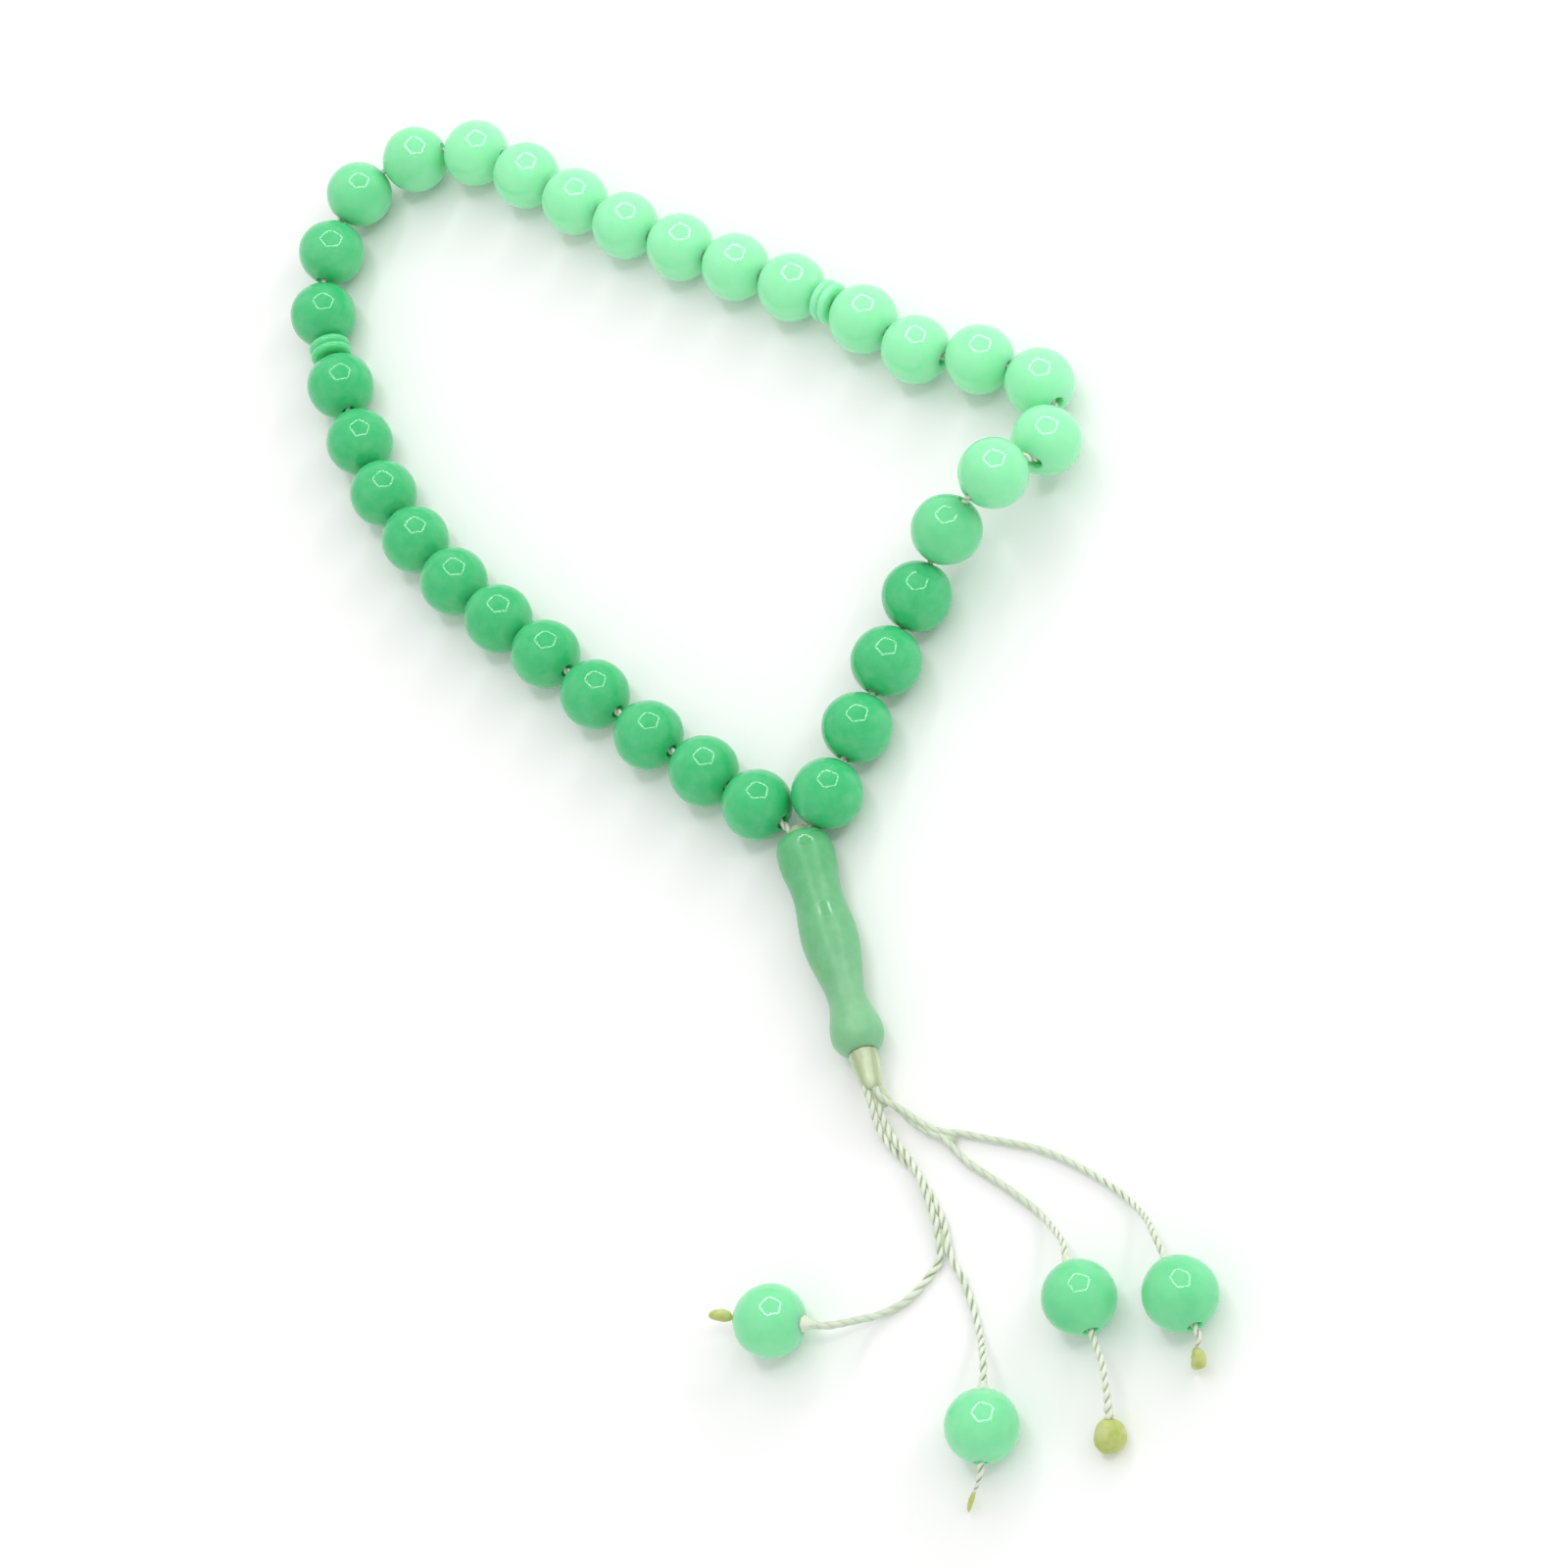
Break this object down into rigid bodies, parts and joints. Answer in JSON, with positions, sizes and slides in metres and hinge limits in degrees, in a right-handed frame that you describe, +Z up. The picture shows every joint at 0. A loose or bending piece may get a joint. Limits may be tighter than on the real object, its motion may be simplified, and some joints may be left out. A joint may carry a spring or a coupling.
{
  "type": "misbaha prayer beads",
  "caption": "Loop of round green resin counting beads with divider discs, a turned head bead and a four-strand beaded cord tassel, lying flat.",
  "frame": {"origin": "on the surface the beads lie on, at the middle of the footprint of the loop, its thread and the head bead", "axes": "+Z up from the surface; +Y along the loop's length, away from the tassel; +X to the right seen from the tassel"},
  "size_m": [0.1023, 0.1886, 0.0143],
  "materials": {
    "bead_resin_deep": "milky translucent jade-green resin, polished",
    "bead_resin_pale": "milky translucent pale green resin, polished",
    "head_resin": "milky translucent green resin, satin polish, paler towards the foot",
    "loop_thread": "fine twisted synthetic thread",
    "tassel_cord": "two-ply twisted synthetic cord, slightly glossy",
    "sealed_end": "heat-sealed and knotted cord end, waxy"
  },
  "bodies": {
    "string": {"loop_thread": "loop_thread", "tassel_neck": "tassel_cord", "trunk_left": "tassel_cord", "trunk_right": "tassel_cord"},
    "strand_1": {"strand_1": "tassel_cord", "end_blob_1": "sealed_end"},
    "tassel_bead_1": {"tassel_bead_1": "bead_resin_pale"},
    "strand_2": {"strand_2": "tassel_cord", "end_tip_2": "sealed_end"},
    "tassel_bead_2": {"tassel_bead_2": "bead_resin_pale"},
    "strand_3": {"strand_3": "tassel_cord", "end_knot_3": "sealed_end"},
    "tassel_bead_3": {"tassel_bead_3": "bead_resin_pale"},
    "strand_4": {"strand_4": "tassel_cord", "end_knot_4": "sealed_end"},
    "tassel_bead_4": {"tassel_bead_4": "bead_resin_pale"},
    "counting_bead_01": {"counting_bead_01": "bead_resin_deep"},
    "counting_bead_02": {"counting_bead_02": "bead_resin_deep"},
    "counting_bead_03": {"counting_bead_03": "bead_resin_deep"},
    "counting_bead_04": {"counting_bead_04": "bead_resin_deep"},
    "counting_bead_05": {"counting_bead_05": "bead_resin_deep"},
    "counting_bead_06": {"counting_bead_06": "bead_resin_deep"},
    "counting_bead_07": {"counting_bead_07": "bead_resin_deep"},
    "counting_bead_08": {"counting_bead_08": "bead_resin_deep"},
    "counting_bead_09": {"counting_bead_09": "bead_resin_deep"},
    "counting_bead_10": {"counting_bead_10": "bead_resin_deep"},
    "counting_bead_11": {"counting_bead_11": "bead_resin_deep"},
    "divider_disc_1": {"divider_disc_1": "bead_resin_pale"},
    "counting_bead_12": {"counting_bead_12": "bead_resin_deep"},
    "counting_bead_13": {"counting_bead_13": "bead_resin_deep"},
    "counting_bead_14": {"counting_bead_14": "bead_resin_pale"},
    "counting_bead_15": {"counting_bead_15": "bead_resin_pale"},
    "counting_bead_16": {"counting_bead_16": "bead_resin_pale"},
    "counting_bead_17": {"counting_bead_17": "bead_resin_pale"},
    "counting_bead_18": {"counting_bead_18": "bead_resin_pale"},
    "counting_bead_19": {"counting_bead_19": "bead_resin_pale"},
    "counting_bead_20": {"counting_bead_20": "bead_resin_pale"},
    "counting_bead_21": {"counting_bead_21": "bead_resin_pale"},
    "counting_bead_22": {"counting_bead_22": "bead_resin_pale"},
    "divider_disc_2": {"divider_disc_2": "bead_resin_pale"},
    "counting_bead_23": {"counting_bead_23": "bead_resin_pale"},
    "counting_bead_24": {"counting_bead_24": "bead_resin_pale"},
    "counting_bead_25": {"counting_bead_25": "bead_resin_pale"},
    "counting_bead_26": {"counting_bead_26": "bead_resin_pale"},
    "counting_bead_27": {"counting_bead_27": "bead_resin_pale"},
    "counting_bead_28": {"counting_bead_28": "bead_resin_pale"},
    "counting_bead_29": {"counting_bead_29": "bead_resin_deep"},
    "counting_bead_30": {"counting_bead_30": "bead_resin_deep"},
    "counting_bead_31": {"counting_bead_31": "bead_resin_deep"},
    "counting_bead_32": {"counting_bead_32": "bead_resin_deep"},
    "counting_bead_33": {"counting_bead_33": "bead_resin_deep"},
    "imame_head": {"imame_head": "head_resin"}
  },
  "joints": [
    {"name": "bead_slide_1", "type": "slide", "parent": "strand_1", "child": "tassel_bead_1", "axis": [0.6157, -0.788, 0], "range_m": [0, 0.0022]},
    {"name": "bead_slide_2", "type": "slide", "parent": "strand_2", "child": "tassel_bead_2", "axis": [0.6947, 0.7193, 0], "range_m": [0, 0.0022]},
    {"name": "bead_slide_3", "type": "slide", "parent": "strand_3", "child": "tassel_bead_3", "axis": [-0.4147, -0.91, 0], "range_m": [0, 0.0036]},
    {"name": "bead_slide_4", "type": "slide", "parent": "strand_4", "child": "tassel_bead_4", "axis": [0.342, 0.9397, 0], "range_m": [0, 0.0022]},
    {"name": "branch_swing_1", "type": "hinge", "parent": "string", "child": "strand_1", "pos_m": [-0.0427, -0.088, 0.00055], "axis": [0, 0, 1], "range_deg": [-20, 20]},
    {"name": "branch_swing_2", "type": "hinge", "parent": "string", "child": "strand_2", "pos_m": [-0.0427, -0.088, 0.00055], "axis": [0, 0, 1], "range_deg": [-15, 20]},
    {"name": "branch_swing_3", "type": "hinge", "parent": "string", "child": "strand_3", "pos_m": [-0.0342, -0.0786, 0.00055], "axis": [0, 0, 1], "range_deg": [-15, 8]},
    {"name": "branch_swing_4", "type": "hinge", "parent": "string", "child": "strand_4", "pos_m": [-0.0342, -0.0786, 0.00055], "axis": [0, 0, 1], "range_deg": [-8, 20]},
    {"name": "spin_counting_bead_01", "type": "hinge", "parent": "string", "child": "counting_bead_01", "pos_m": [-0.023, -0.0353, 0.004], "axis": [-0.1548, 0.986, 0.0617], "continuous": true},
    {"name": "spin_counting_bead_02", "type": "hinge", "parent": "string", "child": "counting_bead_02", "pos_m": [-0.02453, -0.02722, 0.004], "axis": [-0.1763, 0.9843, 0], "continuous": true},
    {"name": "spin_counting_bead_03", "type": "hinge", "parent": "string", "child": "counting_bead_03", "pos_m": [-0.02598, -0.01862, 0.004], "axis": [-0.1374, 0.9905, 0], "continuous": true},
    {"name": "spin_counting_bead_04", "type": "hinge", "parent": "string", "child": "counting_bead_04", "pos_m": [-0.02696, -0.00965, 0.004], "axis": [-0.0968, 0.9953, 0], "continuous": true},
    {"name": "spin_counting_bead_05", "type": "hinge", "parent": "string", "child": "counting_bead_05", "pos_m": [-0.02771, -0.00085, 0.004], "axis": [-0.0986, 0.9951, 0], "continuous": true},
    {"name": "spin_counting_bead_06", "type": "hinge", "parent": "string", "child": "counting_bead_06", "pos_m": [-0.02863, 0.00732, 0.004], "axis": [-0.0903, 0.9959, 0], "continuous": true},
    {"name": "spin_counting_bead_07", "type": "hinge", "parent": "string", "child": "counting_bead_07", "pos_m": [-0.0292, 0.01552, 0.004], "axis": [-0.017, 0.9999, 0], "continuous": true},
    {"name": "spin_counting_bead_08", "type": "hinge", "parent": "string", "child": "counting_bead_08", "pos_m": [-0.02891, 0.02374, 0.004], "axis": [0.0896, 0.996, 0], "continuous": true},
    {"name": "spin_counting_bead_09", "type": "hinge", "parent": "string", "child": "counting_bead_09", "pos_m": [-0.02773, 0.03187, 0.004], "axis": [0.2197, 0.9756, 0], "continuous": true},
    {"name": "spin_counting_bead_10", "type": "hinge", "parent": "string", "child": "counting_bead_10", "pos_m": [-0.02531, 0.03973, 0.004], "axis": [0.333, 0.9429, 0], "continuous": true},
    {"name": "spin_counting_bead_11", "type": "hinge", "parent": "string", "child": "counting_bead_11", "pos_m": [-0.02214, 0.04765, 0.004], "axis": [0.3867, 0.9222, 0], "continuous": true},
    {"name": "spin_divider_disc_1", "type": "hinge", "parent": "string", "child": "divider_disc_1", "pos_m": [-0.02, 0.05252, 0.004], "axis": [0.4383, 0.8988, 0], "continuous": true},
    {"name": "spin_counting_bead_12", "type": "hinge", "parent": "string", "child": "counting_bead_12", "pos_m": [-0.01748, 0.0572, 0.004], "axis": [0.6083, 0.7937, 0], "continuous": true},
    {"name": "spin_counting_bead_13", "type": "hinge", "parent": "string", "child": "counting_bead_13", "pos_m": [-0.01129, 0.06305, 0.004], "axis": [0.8333, 0.5528, 0], "continuous": true},
    {"name": "spin_counting_bead_14", "type": "hinge", "parent": "string", "child": "counting_bead_14", "pos_m": [-0.00376, 0.06637, 0.004], "axis": [0.9987, 0.0517, 0], "continuous": true},
    {"name": "spin_counting_bead_15", "type": "hinge", "parent": "string", "child": "counting_bead_15", "pos_m": [0.00407, 0.06385, 0.004], "axis": [0.8408, -0.5413, 0], "continuous": true},
    {"name": "spin_counting_bead_16", "type": "hinge", "parent": "string", "child": "counting_bead_16", "pos_m": [0.0096, 0.05777, 0.004], "axis": [0.4776, -0.8786, 0], "continuous": true},
    {"name": "spin_counting_bead_17", "type": "hinge", "parent": "string", "child": "counting_bead_17", "pos_m": [0.01169, 0.04981, 0.004], "axis": [0.2272, -0.9739, 0], "continuous": true},
    {"name": "spin_counting_bead_18", "type": "hinge", "parent": "string", "child": "counting_bead_18", "pos_m": [0.01333, 0.04175, 0.004], "axis": [0.2153, -0.9766, 0], "continuous": true},
    {"name": "spin_counting_bead_19", "type": "hinge", "parent": "string", "child": "counting_bead_19", "pos_m": [0.01523, 0.03375, 0.004], "axis": [0.257, -0.9664, 0], "continuous": true},
    {"name": "spin_counting_bead_20", "type": "hinge", "parent": "string", "child": "counting_bead_20", "pos_m": [0.01756, 0.02586, 0.004], "axis": [0.2985, -0.9544, 0], "continuous": true},
    {"name": "spin_counting_bead_21", "type": "hinge", "parent": "string", "child": "counting_bead_21", "pos_m": [0.02014, 0.01805, 0.004], "axis": [0.311, -0.9504, 0], "continuous": true},
    {"name": "spin_counting_bead_22", "type": "hinge", "parent": "string", "child": "counting_bead_22", "pos_m": [0.02268, 0.01023, 0.004], "axis": [0.301, -0.9536, 0], "continuous": true},
    {"name": "spin_divider_disc_2", "type": "hinge", "parent": "string", "child": "divider_disc_2", "pos_m": [0.02424, 0.00514, 0.004], "axis": [0.2532, -0.9674, 0], "continuous": true},
    {"name": "spin_counting_bead_23", "type": "hinge", "parent": "string", "child": "counting_bead_23", "pos_m": [0.02537, -0.00006, 0.004], "axis": [0.1868, -0.9824, 0], "continuous": true},
    {"name": "spin_counting_bead_24", "type": "hinge", "parent": "string", "child": "counting_bead_24", "pos_m": [0.0267, -0.00817, 0.004], "axis": [0.3227, -0.9465, 0], "continuous": true},
    {"name": "spin_counting_bead_25", "type": "hinge", "parent": "string", "child": "counting_bead_25", "pos_m": [0.0306, -0.01541, 0.004], "axis": [0.3862, -0.9224, 0], "continuous": true},
    {"name": "spin_counting_bead_26", "type": "hinge", "parent": "string", "child": "counting_bead_26", "pos_m": [0.03302, -0.02327, 0.004], "axis": [-0.1414, -0.9845, 0.1037], "continuous": true},
    {"name": "spin_counting_bead_27", "type": "hinge", "parent": "string", "child": "counting_bead_27", "pos_m": [0.0284, -0.03014, 0.00557], "axis": [-0.7556, -0.5138, 0.4063], "continuous": true},
    {"name": "spin_counting_bead_28", "type": "hinge", "parent": "string", "child": "counting_bead_28", "pos_m": [0.02137, -0.03115, 0.01028], "axis": [-0.9945, 0.016, 0.1032], "continuous": true},
    {"name": "spin_counting_bead_29", "type": "hinge", "parent": "string", "child": "counting_bead_29", "pos_m": [0.01355, -0.0299, 0.00711], "axis": [-0.9278, -0.0144, -0.3729], "continuous": true},
    {"name": "spin_counting_bead_30", "type": "hinge", "parent": "string", "child": "counting_bead_30", "pos_m": [0.00603, -0.03134, 0.00411], "axis": [-0.9426, -0.2726, -0.193], "continuous": true},
    {"name": "spin_counting_bead_31", "type": "hinge", "parent": "string", "child": "counting_bead_31", "pos_m": [-0.00164, -0.03429, 0.004], "axis": [-0.9252, -0.3794, -0.0068], "continuous": true},
    {"name": "spin_counting_bead_32", "type": "hinge", "parent": "string", "child": "counting_bead_32", "pos_m": [-0.00918, -0.03758, 0.004], "axis": [-0.9202, -0.3914, 0], "continuous": true},
    {"name": "spin_counting_bead_33", "type": "hinge", "parent": "string", "child": "counting_bead_33", "pos_m": [-0.01677, -0.04073, 0.004], "axis": [-0.9569, -0.2813, -0.0724], "continuous": true},
    {"name": "head_spin", "type": "hinge", "parent": "string", "child": "imame_head", "pos_m": [-0.0222, -0.0417, 0.0032], "axis": [-0.4415, -0.8973, 0], "continuous": true}
  ]
}
